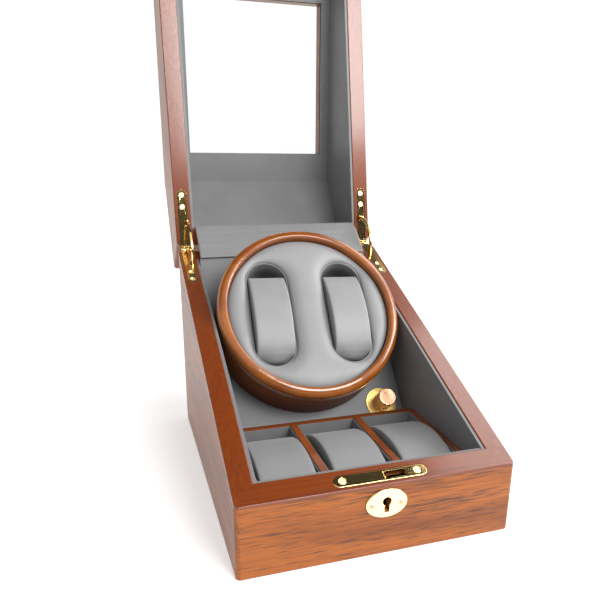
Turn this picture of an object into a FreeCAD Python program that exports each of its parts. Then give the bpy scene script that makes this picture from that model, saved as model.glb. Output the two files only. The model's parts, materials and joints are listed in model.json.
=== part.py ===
import FreeCAD, Part

import math
import os
import re

import Sketcher
from FreeCAD import Placement, Rotation, Vector

# Watch winder box: a wooden case with a sloping rim, a hinged lid with a window,
# a turning drum for two watches, and a tray for three more.
# Box frame: X to the right, Y from the front face to the back, Z up from the floor.
# Each finished piece is moved back by half the depth, so the row's origin is the
# centre of the base.

SIZES = (
    # the wooden box
    ("width", 180, "outside width"),
    ("depth", 242, "outside depth"),
    ("front_height", 48.5, "case height at the front"),
    ("back_height", 154, "case height at the back"),
    ("wall", 14, "wood thickness of case and lid"),
    ("corner_radius", 3, "rounding of the upright corners"),
    ("rim_ease", 0.9, "easing of the rims' long edges"),
    ("felt", 1, "felt under the base"),
    ("base_panel", 6, "thickness of the bottom board"),
    ("lining", 2, "leather-covered lining card"),
    ("edge_step", 0.8, "lining edge set back from the rim"),
    # the lid, given closed
    ("total_height", 206, "height of the closed box"),
    ("lid_front_top", 105.7, "height of the lid's front edge"),
    ("knee", 152.2, "depth at which the sloping front meets the flat top"),
    ("lid_opening", 123.7, "angle from closed to fully open"),
    ("hinge_depth", 247.4, "hinge axis from the front face"),
    ("hinge_height", 153.4, "hinge axis above the floor"),
    # the window
    ("window_width", 131, "clear width"),
    ("window_length", 137, "clear length along the slope"),
    ("window_start", 14, "slope length from the lid's front edge to the opening"),
    ("rebate", 4, "ledge that the pane sits on"),
    ("pane", 2, "glass thickness"),
    # the drum
    ("drum_depth", 147.4, "drum face centre from the front face"),
    ("drum_height", 120.2, "drum face centre above the floor"),
    ("drum_tilt", 49.6, "lean of the drum axis from the vertical"),
    ("drum_turn", -2.3, "how far the stopped drum is turned"),
    ("ring_radius", 72.4, "outside radius of the wooden ring"),
    ("face_radius", 64.4, "radius of the leather face"),
    ("drum_radius", 71.8, "outside radius of the drum shell"),
    ("drum_length", 39.5, "drum face to drum back"),
    ("shell_wall", 5, "drum wall thickness"),
    ("ring_length", 9, "height of the ring along the axis"),
    ("pocket_offset", 30.6, "pocket centre line from the drum axis"),
    ("pocket_radius", 15.9, "half width of a pocket"),
    ("pocket_half", 27.8, "centre to the centre of a pocket's round end"),
    ("pocket_depth", 31, "depth of a pocket"),
    ("pocket_skin", 1.0, "thickness of a pocket cup"),
    ("pocket_lip", 6.6, "drop from the drum's datum to a cup's lip, below the rolled leather"),
    # deck and drive
    ("deck_gap", 1, "running gap between drum and deck"),
    ("deck_board", 6, "deck thickness"),
    ("shaft_radius", 3, "spindle radius"),
    ("bush_radius", 5, "spindle bush radius"),
    ("gearbox_radius", 18.5, "gearbox radius"),
    ("gearbox_length", 19, "gearbox length"),
    ("motor_radius", 13.8, "motor radius"),
    ("motor_length", 26, "motor length"),
    # speed control
    ("knob_offset", 56, "knob axis from the middle"),
    ("knob_slope", -70.5, "knob axis down the deck from the drum axis"),
    ("knob_radius", 7.1, "knob radius"),
    ("knob_length", 15.3, "knob length"),
    ("dial_radius", 12.8, "dial plate radius"),
    ("dial_plate", 0.8, "dial plate thickness"),
    # tray
    ("tray_top", 42, "height of the tray's rails"),
    ("tray_back", 113, "tray's back face from the front face"),
    ("rail", 4, "rail thickness"),
    ("divider", 5, "divider thickness"),
    ("divider_offset", 25, "divider centre from the middle"),
    ("cushion_width", 38, "tray cushion width"),
    ("cushion_length", 74, "tray cushion length"),
    ("cushion_top", 46.5, "crest of a tray cushion"),
    # brass fittings
    ("leaf_offset", 83, "hinge leaf centre from the middle"),
    ("leaf_width", 8, "hinge leaf width"),
    ("leaf_length", 52, "hinge axis to the rounded end of a leaf"),
    ("leaf", 1.6, "leaf thickness"),
    ("barrel_radius", 3.4, "hinge barrel radius"),
    ("pin_radius", 1.2, "hinge pin radius"),
    ("arm_outer", 26, "outside radius of the quadrant arm"),
    ("arm_inner", 22.4, "inside radius of the quadrant arm"),
    ("arm", 1.6, "quadrant arm thickness"),
    ("arm_offset", 80.3, "quadrant arm centre from the middle"),
    ("arm_sweep", 132, "angle that the quadrant arm spans"),
    ("lock_width", 61, "lock plate length"),
    ("lock_plate_depth", 8.4, "lock plate width"),
    ("lock_shoulder", 46, "height of the lock body's top, below its neck"),
    ("lock_slope", 6.6, "lock plate centre up the rim from the front"),
    ("lock_slot_offset", 9, "middle of the lock's slot"),
    ("lock_slot_width", 14, "length of the lock's slot"),
    ("key_offset", 1.5, "keyhole from the middle"),
    ("key_height", 36, "escutcheon centre above the floor"),
    ("keyhole_radius", 2.8, "keyhole radius"),
    ("keyhole_slot", 3.2, "width of the keyhole's slot"),
    ("screw_sunk", 0.35, "screw head below its plate's face"),
    ("screw_slot", 0.7, "width of a screw's slot"),
    ("escutcheon_length", 27, "escutcheon length"),
    ("escutcheon_height", 19, "escutcheon height"),
)

doc = FreeCAD.newDocument("watch_winder_box")
sheet = doc.addObject("Spreadsheet::Sheet", "Sizes")
for row, (alias, value, note) in enumerate(SIZES, 1):
    sheet.set("A%d" % row, alias)
    sheet.set("B%d" % row, str(value))
    sheet.set("C%d" % row, note)
    sheet.setAlias("B%d" % row, alias)
doc.recompute()
ALIASES = {alias for alias, value, note in SIZES}
NODES = []


def formula(text):
    """Turn 'wall + lining' into 'Sizes.wall + Sizes.lining'."""
    return re.sub(r"[a-z][a-z_]+", lambda m: "Sizes." + m[0] if m[0] in ALIASES else m[0], str(text))


def size(text):
    """The value of a formula, in millimetres or degrees."""
    result = sheet.evalExpression(formula(text))
    return float(getattr(result, "Value", result))


# ---- derived places -------------------------------------------------------------

HALF = size("width/2")
INNER = HALF - size("wall")
LINED = INNER - size("lining")
FLOOR = size("felt + base_panel")
RIM_ANGLE = math.degrees(math.atan2(size("back_height - front_height"), size("depth")))
WINDOW_ANGLE = math.degrees(math.atan2(size("total_height - lid_front_top"), size("knee")))

TO_ROW = Placement(Vector(0, -size("depth/2"), 0), Rotation())
TILT = Rotation(Vector(1, 0, 0), size("drum_tilt"))
DRUM_FRAME = TO_ROW * Placement(Vector(0, size("drum_depth"), size("drum_height")), TILT)
TURNED_DRUM = DRUM_FRAME * Placement(Vector(0, 0, 0), Rotation(Vector(0, 0, 1), size("drum_turn")))
RIM_TILT = Rotation(Vector(1, 0, 0), RIM_ANGLE)
RIM_FRAME = Placement(Vector(0, 0, size("front_height")), RIM_TILT)
WINDOW_TILT = Rotation(Vector(1, 0, 0), WINDOW_ANGLE)
WINDOW_FRAME = Placement(Vector(0, 0, size("lid_front_top")), WINDOW_TILT)
HINGE = Vector(0, size("hinge_depth"), size("hinge_height"))
OPEN_LID = Placement(Vector(), Rotation(Vector(1, 0, 0), -size("lid_opening")), HINGE)
LID_TO_ROW = TO_ROW * OPEN_LID
HINGE_ON_RIM = RIM_FRAME.inverse().multVec(HINGE)
DECK_TOP = -size("drum_length + deck_gap")


def rim_height(y):
    """Height of the sloping rim at a distance from the front face."""
    return size("front_height") + y * math.tan(math.radians(RIM_ANGLE))


def roof_height(y):
    """Height of the lid's outside at a distance from the front face."""
    return min(size("lid_front_top") + y * math.tan(math.radians(WINDOW_ANGLE)), size("total_height"))


def deck_height(y, below=0):
    """Height of the deck's face, or of a plane below it, at a distance from the front."""
    tilt = math.radians(size("drum_tilt"))
    fall = (DECK_TOP - below) / math.cos(tilt)
    return size("drum_height") + fall + (y - size("drum_depth")) * math.tan(tilt)


# ---- modelling helpers ----------------------------------------------------------

def bind(obj, **sizes):
    for name, text in sizes.items():
        obj.setExpression(name, formula(text))


def block(name, x, y, z):
    """A box between two corners, each given as a (low, high) pair of formulas."""
    obj = doc.addObject("Part::Box", name)
    for side, axis, (low, high) in zip(("Length", "Width", "Height"), "xyz", (x, y, z)):
        obj.setExpression(side, formula("(%s) - (%s)" % (high, low)))
        obj.setExpression("Placement.Base." + axis, formula(low))
    return obj


def rod(name, radius, length, base=(0, 0, 0), along="z"):
    """A cylinder from a base point along an axis."""
    obj = doc.addObject("Part::Cylinder", name)
    bind(obj, Radius=radius, Height=length)
    turns = {"x": Rotation(Vector(0, 1, 0), 90), "y": Rotation(Vector(1, 0, 0), -90), "z": Rotation()}
    obj.Placement = Placement(Vector(), turns[along])
    for axis, text in zip("xyz", base):
        obj.setExpression("Placement.Base." + axis, formula(text))
    return obj


def fuse(name, *pieces):
    obj = doc.addObject("Part::MultiFuse", name)
    obj.Shapes = list(pieces)
    return obj


def cut(name, base, *tools):
    obj = doc.addObject("Part::Cut", name)
    obj.Base = base
    obj.Tool = tools[0] if len(tools) == 1 else fuse(name + "_tools", *tools)
    return obj


def common(name, base, tool):
    obj = doc.addObject("Part::Common", name)
    obj.Base = base
    obj.Tool = tool
    return obj


def origin_plane(body, role):
    return [plane for plane in body.Origin.OriginFeatures if plane.Role == role][0]


def profile(name, corners, length, low=None):
    """A side profile of (y, z) corners, padded across X, centred or from a low side."""
    body = doc.addObject("PartDesign::Body", name)
    sketch = body.newObject("Sketcher::SketchObject", name + "_sketch")
    sketch.AttachmentSupport = [(origin_plane(body, "YZ_Plane"), "")]
    sketch.MapMode = "FlatFace"
    points = [Vector(size(y), size(z), 0) for y, z in corners]
    count = len(points)
    for i in range(count):
        sketch.addGeometry(Part.LineSegment(points[i], points[(i + 1) % count]), False)
    for i in range(count):
        sketch.addConstraint(Sketcher.Constraint("Coincident", i, 2, (i + 1) % count, 1))
    pad = body.newObject("PartDesign::Pad", name + "_pad")
    pad.Profile = sketch
    bind(pad, Length=length)
    if low is None:
        pad.Midplane = True
    else:
        bind(sketch, **{"AttachmentOffset.Base.z": low})
    return body


def round_edges(name, base, radius, chosen):
    """Round the edges of a piece for which chosen(edge) is true."""
    doc.recompute()
    obj = doc.addObject("Part::Fillet", name)
    obj.Base = base
    value = size(radius)
    obj.Edges = [(i, value, value) for i, edge in enumerate(base.Shape.Edges, 1) if chosen(edge)]
    return obj


def upright(edge):
    """True for a straight edge that runs up the box."""
    ends = [vertex.Point for vertex in edge.Vertexes]
    return len(ends) == 2 and abs(ends[0].x - ends[1].x) < 0.01 and abs(ends[0].y - ends[1].y) < 0.01


def on_rim(edge):
    """True for an edge that lies in the sloping plane where case and lid meet."""
    points = [edge.valueAt(value) for value in (edge.FirstParameter, edge.LastParameter)]
    return all(abs(point.z - rim_height(point.y)) < 0.01 for point in points)


def solid(name, shape):
    """A feature whose shape is worked out from the sheet."""
    obj = doc.addObject("Part::Feature", name)
    obj.Shape = shape
    return obj


def moved(obj, placement):
    """Place a tool made at the origin."""
    obj.Placement = placement
    return obj


def solid_group(name, pieces):
    """Several alike pieces as one group of separate solids."""
    obj = doc.addObject("Part::Compound", name)
    obj.Links = list(pieces)
    return obj


def finish(label, obj, frame=TO_ROW):
    """Name a finished piece and place it in the row's frame."""
    if any(path.startswith("Placement") or path.startswith(".Placement") for path, text in obj.ExpressionEngine):
        obj = solid_group(label + "_piece", [obj])
    doc.recompute()
    obj.Placement = frame * obj.Placement
    obj.Label = label
    NODES.append(obj)
    return obj


def pill(name, radius, half, low, high, u):
    """A long round-ended solid that lies along Y."""
    ends = []
    for side in (-1, 1):
        base = (u, "%d*(%s)" % (side, half), low)
        ends.append(rod("%s_end_%d" % (name, len(ends)), radius, "(%s)-(%s)" % (high, low), base))
    x = ("(%s)-(%s)" % (u, radius), "(%s)+(%s)" % (u, radius))
    middle = block(name + "_middle", x, ("-(%s)" % half, half), (low, high))
    return fuse(name, middle, *ends)


def countersunk(radius, length, head_radius):
    """A slotted countersunk screw pointing down, its head just below the origin."""
    sunk, slot_width = size("screw_sunk"), size("screw_slot")
    head_length = head_radius - radius
    head = Part.makeCone(radius, head_radius - sunk, head_length - sunk, Vector(0, 0, -head_length))
    shank = Part.makeCylinder(radius, length - sunk, Vector(0, 0, -length))
    slot = Part.makeBox(2 * head_radius, slot_width, 0.6, Vector(-head_radius, -slot_width / 2, -sunk - 0.5))
    return head.fuse(shank).cut(slot)


def screw_hole(radius, length, head_radius):
    """The hole for such a screw, opening out to the plate's face."""
    head_length = head_radius - radius
    cone = Part.makeCone(radius, head_radius, head_length, Vector(0, 0, -head_length))
    return cone.fuse(Part.makeCylinder(radius, length, Vector(0, 0, -length)))


def at_places(shape, places):
    """Copies of a shape as one group of separate solids."""
    copies = []
    for place in places:
        copy = shape.copy()
        copy.Placement = place * copy.Placement
        copies.append(copy)
    return Part.makeCompound(copies)


# ---- wooden case ----------------------------------------------------------------

def wall_tool(name, side):
    """A tapered block whose slanted ends make the mitred corner joints."""
    wedge = doc.addObject("Part::Wedge", name)
    span = "width" if side in ("front", "back") else "depth"
    bind(wedge, Xmin="-%s/2" % span, Xmax="%s/2" % span, X2min="-%s/2+wall" % span, X2max="%s/2-wall" % span)
    bind(wedge, Ymin="0", Ymax="wall", Zmin="0", Zmax="2*total_height", Z2min="0", Z2max="2*total_height")
    turn = {"front": 0, "right": 90, "back": 180, "left": 270}[side]
    middle = Vector(0, size("depth/2"), 0)
    out = size("depth/2") if side in ("front", "back") else HALF
    spin = Rotation(Vector(0, 0, 1), turn)
    wedge.Placement = Placement(middle + spin.multVec(Vector(0, -out, 0)), spin)
    return wedge


def arm_mortise(name, sign):
    """The curved slot that a quadrant arm swings into, inside the outer faces."""
    x = size("arm_offset") * sign
    thick = size("arm") + 0.5
    start = Vector(x - thick / 2, HINGE.y, HINGE.z)
    ring = Part.makeCylinder(size("arm_outer") + 0.5, thick, start, Vector(1, 0, 0))
    ring = ring.cut(Part.makeCylinder(size("arm_inner") - 0.5, thick, start, Vector(1, 0, 0)))
    reach = size("arm_outer") + 5
    inside = Part.makeBox(thick, 2 * reach, 2 * reach)
    inside.translate(Vector(x - thick / 2, size("depth") - 1.6 - 2 * reach, HINGE.z - reach))
    return solid(name, ring.common(inside))


def leaf_plate(name, above, beyond=0):
    """The flat part of both leaves, on the rim: under it for the case, above for the lid."""
    low, high = (0, size("leaf")) if above else (-size("leaf"), 0)
    end = HINGE_ON_RIM.y - size("leaf_length") + size("leaf_width/2")
    tail = size("depth") / math.cos(math.radians(RIM_ANGLE))
    plates = []
    for sign in (-1, 1):
        x = sign * size("leaf_offset")
        corner = Vector(x - size("leaf_width/2"), end, low)
        flat = Part.makeBox(size("leaf_width"), tail - end + beyond, high - low, corner)
        tip = Part.makeCylinder(size("leaf_width/2"), high - low, Vector(x, end, low))
        plates.append(flat.fuse(tip).removeSplitter())
    return moved(solid(name, Part.makeCompound(plates)), RIM_FRAME)


def make_case():
    corners = [("0", "felt"), ("depth", "felt"), ("depth", "back_height"), ("0", "front_height")]
    outline = profile("case_outline", corners, "width")
    rounded = round_edges("case_rounded", outline, "corner_radius", upright)
    hollow = block("case_hollow", ("wall-width/2", "width/2-wall"), ("wall", "depth-wall"), ("0", "back_height+20"))
    shell = round_edges("case_shell_eased", cut("case_shell", rounded, hollow), "rim_ease", on_rim)
    # the pocket stays under the lock plate above, and is open to the lining below
    lock_mouth = block("lock_mouth", ("-18.2", "20.2"), ("3.4", "10.5"), ("22.8", "front_height+20"))
    lock_pocket = block("lock_pocket", ("-18.2", "20.2"), ("3.4", "wall"), ("22.8", "lock_shoulder+0.2"))
    key_bore = rod("key_bore", "keyhole_radius+0.4", "6", ("key_offset", "-1", "key_height+1.4"), "y")
    key_slot = block("key_slot", ("key_offset-keyhole_slot/2-0.3", "key_offset+keyhole_slot/2+0.3"),
                     ("-1", "5"), ("key_height-5", "key_height"))
    plate_seat = moved(solid("plate_seat_on_rim", rounded_plate(-size("leaf"), 1)), RIM_FRAME)
    jack_bore = rod("jack_bore", "4.1", "wall+2", ("-45", "depth-wall-1", "26"), "y")
    seats = leaf_plate("lower_leaf_seats", False, 2)
    slots = [arm_mortise("lower_mortise_left", -1), arm_mortise("lower_mortise_right", 1)]
    extra = {
        "front": (lock_mouth, lock_pocket, key_bore, key_slot, plate_seat),
        "left": (seats, *slots),
        "right": (seats, *slots),
        "back": (jack_bore, seats, *slots),
    }
    for side, tools in extra.items():
        wall = common("case_%s_blank" % side, shell, wall_tool("case_%s_tool" % side, side))
        finish("case_" + side, cut("case_%s_wall" % side, wall, *tools))
    bottom = block("bottom", ("wall-width/2", "width/2-wall"), ("wall", "depth-wall"), ("felt", "felt+base_panel"))
    finish("case_bottom", bottom)
    felt = block("felt_sheet", ("4-width/2", "width/2-4"), ("4", "depth-4"), ("0", "felt"))
    finish("base_felt", felt)


def make_case_linings():
    front, back = size("wall"), size("depth - wall")
    sides = []
    for index, low in enumerate(("wall-width/2", "width/2-wall-lining")):
        drop = size("edge_step")
        corners = [(front, FLOOR), (back, FLOOR), (back, rim_height(back) - drop), (front, rim_height(front) - drop)]
        sides.append(profile("case_lining_side_%d" % index, corners, "lining", low))
    finish("case_lining_sides", solid_group("case_lining_pair", sides))
    corners = ("-%f" % LINED, "%f" % LINED), ("wall", "wall+lining"), (FLOOR, rim_height(front) - size("edge_step"))
    finish("case_lining_front", block("lining_front", *corners))


# ---- deck, tray and cushions ----------------------------------------------------

DECK_FRONT = 117
DECK_BACK = 225.6


def make_deck():
    corners = [(DECK_FRONT, deck_height(DECK_FRONT)), (DECK_BACK, deck_height(DECK_BACK))]
    corners += [(DECK_BACK, deck_height(DECK_BACK, size("deck_board")))]
    corners += [(DECK_FRONT, deck_height(DECK_FRONT, size("deck_board")))]
    board = profile("deck_board_blank", corners, 2 * LINED - 0.4)
    bores = solid_group("deck_bores", [
        rod("deck_bore", "bush_radius", 40, (0, 0, DECK_TOP - 20)),
        rod("switch_bore", "3.6", 40, ("knob_offset", "knob_slope", DECK_TOP - 20)),
    ])
    finish("deck_panel", cut("deck_bored", board, moved(bores, TO_ROW.inverse() * DRUM_FRAME)))
    top = deck_height(DECK_FRONT, size("deck_board"))
    bay = block("bay_wall_board", (-LINED + 0.2, LINED - 0.2), ("tray_back+1", "tray_back+7"), (FLOOR, top))
    finish("bay_wall", bay)


def make_tray():
    half = LINED - 0.3
    front = size("wall + lining") + 0.3
    outer = block("tray_outer", (-half, half), (front, "tray_back"), (FLOOR, "tray_top"))
    inner = block("tray_inner", ("%f+rail" % -half, "%f-rail" % half), ("%f+rail" % front, "tray_back-rail"),
                  (FLOOR - 1, "tray_top+1"))
    dividers = []
    for index, sign in enumerate((-1, 1)):
        x = ("%d*divider_offset-divider/2" % sign, "%d*divider_offset+divider/2" % sign)
        dividers.append(block("tray_divider_%d" % index, x, ("%f+rail" % front, "tray_back-rail"), (FLOOR, "tray_top")))
    finish("tray_frame", fuse("tray_frame_joined", cut("tray_ring", outer, inner), *dividers))
    rail_in = half - size("rail")
    middle = size("divider_offset - divider/2")
    side = size("divider_offset + divider/2")
    bays = ((-rail_in, -side), (-middle, middle), (side, rail_in))
    cups = []
    for index, (left, right) in enumerate(bays):
        y = ("%f+rail" % front, "tray_back-rail")
        cup = block("tray_cup_%d" % index, (left, right), y, (FLOOR, "tray_top-1"))
        y = ("%f+rail+pocket_skin" % front, "tray_back-rail-pocket_skin")
        x = ("%f+pocket_skin" % left, "%f-pocket_skin" % right)
        hollow = block("tray_cup_hollow_%d" % index, x, y, (FLOOR + 1.5, "tray_top"))
        cups.append(cut("tray_lining_%d" % index, cup, hollow))
    finish("tray_pocket_linings", solid_group("tray_cups", cups))
    for name, (left, right) in zip(("left", "centre", "right"), bays):
        middle_x = (left + right) / 2
        middle_y = (front + size("tray_back")) / 2
        shape = cushion_shape(size("cushion_width"), size("cushion_length"), size("cushion_top") - FLOOR - 1.8, 10.3)
        shape.translate(Vector(middle_x, middle_y, FLOOR + 1.8))
        finish("tray_cushion_" + name, solid("tray_pillow_" + name, shape))


def cushion_shape(width, length, height, crown, foot_radius=0):
    """A watch pillow: flat below, its top an arch along the length."""
    ends = height - crown
    start, crest, stop = Vector(0, -length / 2, ends), Vector(0, 0, height), Vector(0, length / 2, ends)
    arch = Part.Arc(start, crest, stop).toShape()
    sides = Part.makePolygon([stop, Vector(0, length / 2, 0), Vector(0, -length / 2, 0), start])
    face = Part.Face(Part.Wire([arch] + sides.Edges))
    shape = face.extrude(Vector(width, 0, 0))
    shape.translate(Vector(-width / 2, 0, 0))
    if foot_radius:
        foot = [edge for edge in shape.Edges if upright(edge) and edge.BoundBox.YMax < 0]
        shape = shape.makeFillet(foot_radius, foot)
    arched = [edge for edge in shape.Edges if edge.BoundBox.ZMin > ends - 0.1 and edge.BoundBox.ZMax > height - 0.1]
    return shape.makeFillet(2, arched)


# ---- drum and drive -------------------------------------------------------------

def make_drum():
    back = "-drum_length"
    outer = rod("shell_outer", "drum_radius", "drum_length-ring_length", (0, 0, back))
    inner = rod("shell_inner", "drum_radius-shell_wall", "drum_length", (0, 0, "shell_wall-drum_length"))
    hub_bore = rod("shell_bore", "shaft_radius+2.5", "20", (0, 0, "-drum_length-1"))
    finish("drum_shell", cut("shell", outer, inner, hub_bore), DRUM_FRAME)
    finish("drum_ring", solid("ring", ring_shape()), DRUM_FRAME)

    openings = [pill("face_opening_%d" % i, "pocket_radius+pocket_skin", "pocket_half", "-20", "5",
                     "%d*pocket_offset" % sign) for i, sign in enumerate((-1, 1))]
    disc = rod("face_disc", "face_radius-0.2", "5.8", (0, 0, "-7"))
    finish("drum_face", cut("face", disc, *openings), TURNED_DRUM)
    finish("drum_pockets", make_pockets(), TURNED_DRUM)
    hub = fuse("hub_joined", rod("hub_boss", "10", "8", (0, 0, "shell_wall-drum_length")),
               rod("hub_spigot", "shaft_radius+2.5", "shell_wall", (0, 0, back)))
    finish("drum_hub", cut("hub", hub, rod("hub_bore", "shaft_radius", "50", (0, 0, "-drum_length-5"))), DRUM_FRAME)
    shaft = rod("spindle", "shaft_radius", "deck_gap+deck_board+shell_wall+8+6", (0, 0, 0))
    shaft.setExpression("Placement.Base.z", formula("-drum_length-deck_gap-deck_board-6"))
    finish("drum_shaft", shaft, DRUM_FRAME)
    for name, sign in (("left", -1), ("right", 1)):
        shape = cushion_shape(30.2, 72.5, 34, 9.3, 13)
        shape.translate(Vector(sign * size("pocket_offset"), -4.4, 0.2 - size("pocket_depth")))
        finish("drum_cushion_" + name, solid("drum_pillow_" + name, shape), TURNED_DRUM)


def ring_shape():
    """The turned wooden ring: square below, rounded over on top."""
    inner, outer, length = size("face_radius"), size("ring_radius"), size("ring_length")
    crown = 5.5
    low, top = -length, 1.0
    points = [Vector(inner, 0, low), Vector(outer, 0, low), Vector(outer, 0, top - crown)]
    arc = Part.Arc(points[2], Vector(outer - crown * 0.293, 0, top - crown * 0.293), Vector(outer - crown, 0, top))
    lip = Part.Arc(Vector(outer - crown, 0, top), Vector(inner + 0.5, 0, top - 0.9), Vector(inner, 0, top - 2.4))
    path = Part.makePolygon([Vector(inner, 0, top - 2.4)] + points)
    face = Part.Face(Part.Wire([arc.toShape(), lip.toShape()] + path.Edges))
    return face.revolve(Vector(), Vector(0, 0, 1), 360)


def make_pockets():
    """Two pill-shaped cups, one for each watch cushion."""
    cups = []
    for index, sign in enumerate((-1, 1)):
        u = "%d*pocket_offset" % sign
        base = "-pocket_depth-pocket_skin"
        cup = pill("cup_%d" % index, "pocket_radius+pocket_skin", "pocket_half", base, "-pocket_lip", u)
        hollow = pill("cup_hollow_%d" % index, "pocket_radius", "pocket_half", "-pocket_depth", "5", u)
        cups.append(cut("pocket_%d" % index, cup, hollow))
    return solid_group("pockets", cups)


def make_drive():
    under = DECK_TOP - size("deck_board")
    bush = rod("bush", "bush_radius", "deck_board", (0, 0, under))
    finish("spindle_bush", cut("bush_bored", bush, rod("bush_bore", "shaft_radius+0.05", 40, (0, 0, under - 5))), DRUM_FRAME)
    low = under - size("gearbox_length")
    box = rod("gearbox_can", "gearbox_radius", "gearbox_length", (0, 0, low))
    bore = rod("gearbox_bore", "shaft_radius+0.3", "7", (0, 0, under - 6.5))
    finish("gearbox", cut("gearbox_body", box, bore), DRUM_FRAME)
    can = rod("motor_can", "motor_radius", "motor_length-2", (0, 0, "%f-motor_length+2" % low))
    boss = rod("motor_boss", "5", "2", (0, 0, "%f-motor_length" % low))
    finish("motor", fuse("motor_body", can, boss), DRUM_FRAME)
    places = []
    for turn in (45, 135, 225, 315):
        arm = Rotation(Vector(0, 0, 1), turn).multVec(Vector(15.5, 0, 0))
        places.append(Placement(arm + Vector(0, 0, DECK_TOP), Rotation()))
    screws = at_places(countersunk(1.4, 10, 2.8), places)
    screw_group = solid("gearbox_screw_group", screws)
    finish("gearbox_screws", screw_group, DRUM_FRAME)


def make_control():
    """Rotary switch behind the deck, its board, and the dial and knob in front."""
    x, v = "knob_offset", "knob_slope"
    under = DECK_TOP - size("deck_board")
    dial = rod("dial_disc", "dial_radius", "dial_plate", (x, v, DECK_TOP))
    finish("dial_plate", cut("dial", dial, rod("dial_bore", "3.6", 10, (x, v, DECK_TOP - 5))), DRUM_FRAME)
    reach = DECK_TOP + size("dial_plate")
    nut = doc.addObject("Part::Prism", "nut_blank")
    nut.Polygon = 6
    bind(nut, Circumradius="5", Height="1.8")
    nut.Placement.Base = Vector(size(x), size(v), reach)
    finish("switch_nut", cut("nut", nut, rod("nut_bore", "3.6", 10, (x, v, reach - 2))), DRUM_FRAME)
    body = block("switch_body", (x + "-8", x + "+8"), (v + "-7", v + "+9"), (under - 8, under))
    neck = rod("switch_neck", "3.5", size("deck_board + dial_plate") + 1.8, (x, v, under))
    bore = rod("switch_bore_tool", "2.1", 30, (x, v, under - 3))
    finish("rotary_switch", cut("switch", fuse("switch_joined", body, neck), bore), DRUM_FRAME)
    board = block("board", (x + "-34", x + "+12"), (v + "-7", v + "+21"), (under - 9.6, under - 8))
    chip = block("chip", (x + "-30", x + "-20"), (v + "+2", v + "+12"), (under - 8, under - 6))
    socket = block("socket", (x + "-30", x + "-18"), (v + "+14", v + "+21"), (under - 8, under - 3))
    finish("control_board", fuse("board_joined", board, chip, socket), DRUM_FRAME)
    finish("control_knob", solid("knob", knob_shape(reach, under)), DRUM_FRAME)


def knob_shape(reach, under):
    """A fluted knob with a pointer groove, and the spindle that it grips."""
    radius, length, low = size("knob_radius"), size("knob_length"), reach + 0.3
    centre = Vector(size("knob_offset"), size("knob_slope"), 0)
    body = Part.makeCylinder(radius, length, centre + Vector(0, 0, low))
    body = body.makeFillet(0.6, [edge for edge in body.Edges if edge.BoundBox.ZMin > low + length - 0.1])
    flutes = []
    for index in range(24):
        arm = Rotation(Vector(0, 0, 1), 15 * index).multVec(Vector(radius + 0.35, 0, 0))
        flutes.append(Part.makeCylinder(0.75, length - 3.5, centre + arm + Vector(0, 0, low + 1)))
    recess = Part.makeCylinder(5.4, 2.4, centre + Vector(0, 0, low - 0.2))
    groove = Part.makeBox(radius + 1, 0.8, 0.6, Vector(0.8, -0.4, low + length - 0.4))
    groove.rotate(Vector(), Vector(0, 0, 1), 120)
    groove.translate(centre)
    spindle = Part.makeCylinder(2, low + 4 - (under - 2.5), centre + Vector(0, 0, under - 2.5))
    return body.cut(flutes + [recess, groove]).fuse(spindle)


def make_power():
    """The socket in the back wall and the leads inside the box."""
    x, z = "-45", "26"
    inner = "depth-wall"
    barrel = rod("jack_barrel", "4", "wall", (x, inner, z), "y")
    flange = rod("jack_flange", "6", "1.5", (x, "depth", z), "y")
    rear = block("jack_rear", (x + "-5", x + "+5"), (inner + "-11", inner), (z + "-5", z + "+5"))
    bore = rod("jack_hole", "2.75", "11", (x, "depth-9.5", z), "y")
    pin = rod("jack_pin", "1", "9.5", (x, "depth-9.5", z), "y")
    finish("dc_jack", fuse("jack", cut("jack_shell", fuse("jack_outer", barrel, flange, rear), bore), pin))
    to_box = TO_ROW.inverse() * DRUM_FRAME
    under = DECK_TOP - size("deck_board")
    socket = to_box.multVec(Vector(size("knob_offset") - 24, size("knob_slope") + 21.2, under - 5.2))
    ahead = to_box.multVec(Vector(size("knob_offset") - 24, size("knob_slope") + 31, under - 5.2))
    motor_end = to_box.multVec(Vector(0, -6, under - size("gearbox_length + motor_length") - 0.2))
    low = 24.0
    run = [motor_end, motor_end + Vector(0, 5, -4), Vector(0, motor_end.y + 4, low + 8),
           Vector(socket.x - 2, 180, low), ahead, socket]
    finish("motor_lead", solid("motor_wire", lead_shape(run, 1.2)))
    jack = Vector(-45, size("depth - wall") - 11.2, 26)
    board = to_box.multVec(Vector(size("knob_offset") - 34.2, size("knob_slope") + 16, under - 8.9))
    run = [jack, jack + Vector(0, -12, 0), Vector(-20, 190, 14), Vector(board.x - 8, board.y + 14, 16),
           board + Vector(-8, 3, -2), board]
    finish("jack_lead", solid("jack_wire", lead_shape(run, 1.2)))


def lead_shape(points, radius):
    """A round lead along straight runs joined by arcs."""
    bend = 4.0
    edges = []
    start = points[0]
    for before, corner, after in zip(points, points[1:], points[2:]):
        back = (before - corner).normalize()
        ahead = (after - corner).normalize()
        half_angle = back.getAngle(ahead) / 2
        reach = min(bend / math.tan(half_angle), 0.45 * (after - corner).Length, 0.45 * (before - corner).Length)
        first, last = corner + back * reach, corner + ahead * reach
        size_now = reach * math.tan(half_angle)
        bisector = (back + ahead).normalize()
        centre = corner + bisector * (reach / math.cos(half_angle))
        middle = centre - bisector * size_now
        edges.append(Part.LineSegment(start, first).toShape())
        edges.append(Part.Arc(first, middle, last).toShape())
        start = last
    edges.append(Part.LineSegment(start, points[-1]).toShape())
    path = Part.Wire(edges)
    section = Part.Wire([Part.makeCircle(radius, points[0], points[1] - points[0])])
    return path.makePipeShell([section], True, True)


# ---- lid ------------------------------------------------------------------------

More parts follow.
